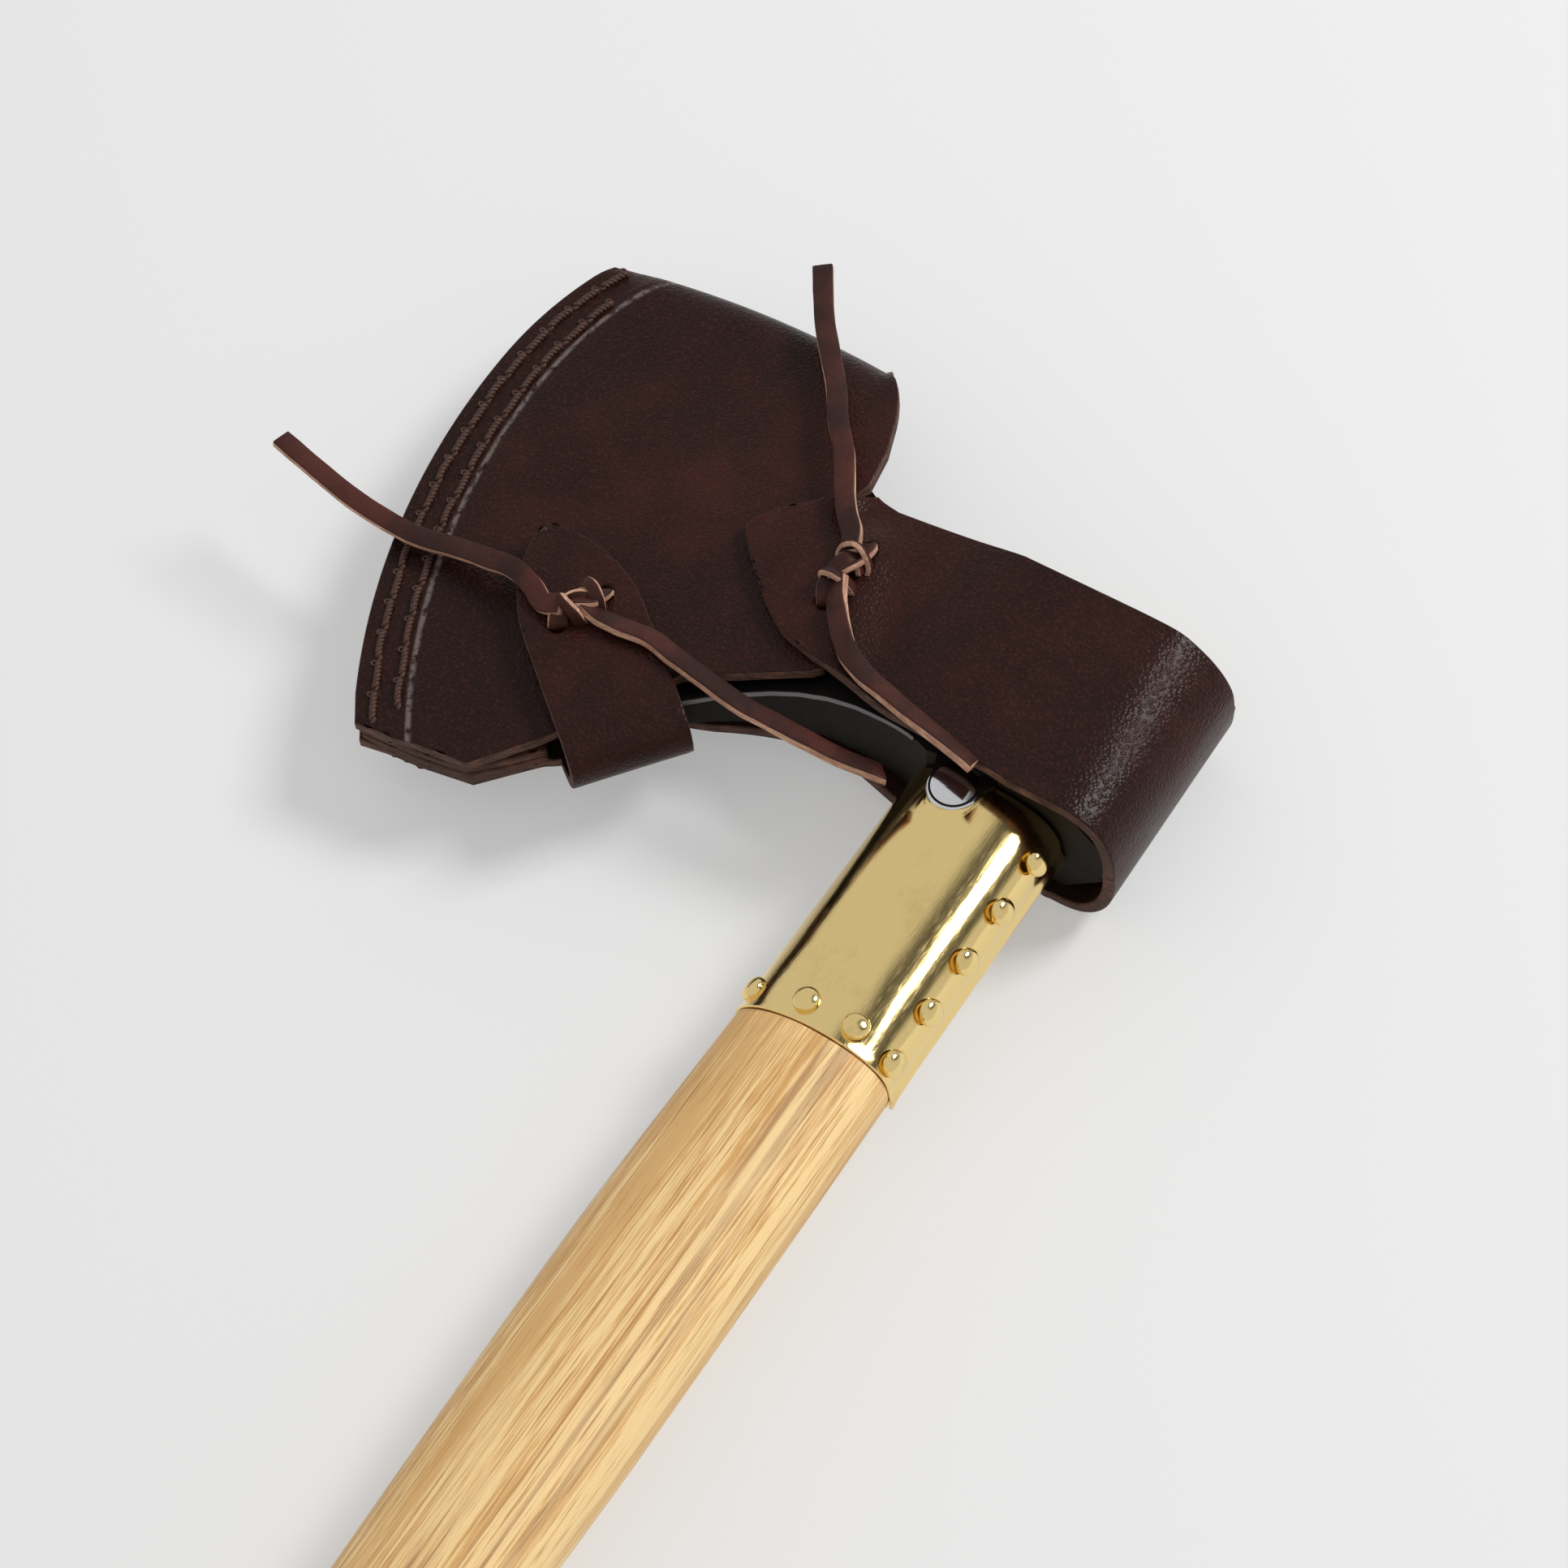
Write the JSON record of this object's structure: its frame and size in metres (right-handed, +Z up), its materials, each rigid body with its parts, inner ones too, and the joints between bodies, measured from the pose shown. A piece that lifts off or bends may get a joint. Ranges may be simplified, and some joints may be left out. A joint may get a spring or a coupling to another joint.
{
  "type": "hatchet",
  "caption": "Bearded hatchet with a wooden handle, a tacked brass sleeve and a stitched leather sheath tied on by two straps.",
  "frame": {"origin": "under the centre of the eye, on the flat underside of the poll strap that the hatchet lies on", "axes": "+X along the handle to the top of the head, +Y to the cutting edge, +Z up out of the side that shows"},
  "size_m": [0.4218, 0.1995, 0.0384],
  "materials": {
    "head_steel": "ground and polished",
    "handle_wood": "oiled ash",
    "wedge_wood": "raw",
    "wedge_steel": "ground",
    "brass": "polished sheet",
    "tack_brass": "polished dome",
    "leather": "satin, dyed dark brown",
    "leather_edge": "raw cut edge",
    "thread": "waxed twist",
    "thong": "satin face, pale raw edges"
  },
  "bodies": {
    "hatchet": {"axe_head": "head_steel", "handle": "handle_wood", "eye_wedge": "wedge_wood", "cross_wedge": "wedge_steel", "brass_sleeve": "brass", "seam_tacks": "tack_brass", "rim_tacks": "tack_brass"},
    "sheath": {"pouch": "leather", "edge_welt": "leather_edge", "outer_stitches": "thread", "inner_stitches": "thread"},
    "poll_strap_bend": {"poll_strap_web": "leather"},
    "poll_strap_end": {"poll_strap_leaf": "leather", "poll_thong_knot": "thong", "poll_tail_upper": "thong", "poll_tail_lower": "thong"},
    "beard_strap_bend": {"beard_strap_web": "leather"},
    "beard_strap_end": {"beard_strap_leaf": "leather", "beard_thong_knot": "thong", "beard_tail_outer": "thong", "beard_tail_inner": "thong"}
  },
  "joints": [
    {"name": "sheath_pull", "type": "slide", "parent": "hatchet", "child": "sheath", "axis": [0, 1, 0], "range_m": [0, 0.26], "deforming": ["poll_strap_web", "poll_strap_leaf", "beard_strap_web", "beard_strap_leaf", "poll_thong_knot", "poll_tail_upper", "poll_tail_lower", "beard_thong_knot", "beard_tail_outer", "beard_tail_inner"]},
    {"name": "poll_strap_open", "type": "hinge", "parent": "poll_strap_bend", "child": "poll_strap_end", "pos_m": [0, -0.0265, 0.0333], "axis": [1, 0, 0], "range_deg": [0, 90]},
    {"name": "poll_strap_fold", "type": "hinge", "parent": "sheath", "child": "poll_strap_bend", "pos_m": [0, -0.0265, 0.0027], "axis": [1, 0, 0], "range_deg": [0, 70]},
    {"name": "beard_strap_open", "type": "hinge", "parent": "beard_strap_bend", "child": "beard_strap_end", "pos_m": [-0.04882, 0.06531, 0.0266], "axis": [0.7826, -0.6225, 0], "range_deg": [0, 90]},
    {"name": "beard_strap_fold", "type": "hinge", "parent": "sheath", "child": "beard_strap_bend", "pos_m": [-0.04882, 0.06531, 0.0129], "axis": [0.7826, -0.6225, 0], "range_deg": [0, 70]}
  ],
  "couplings": [
    {"joint": "poll_strap_fold", "follows": "poll_strap_open", "ratio": 0.7777},
    {"joint": "beard_strap_fold", "follows": "beard_strap_open", "ratio": 0.7777}
  ]
}
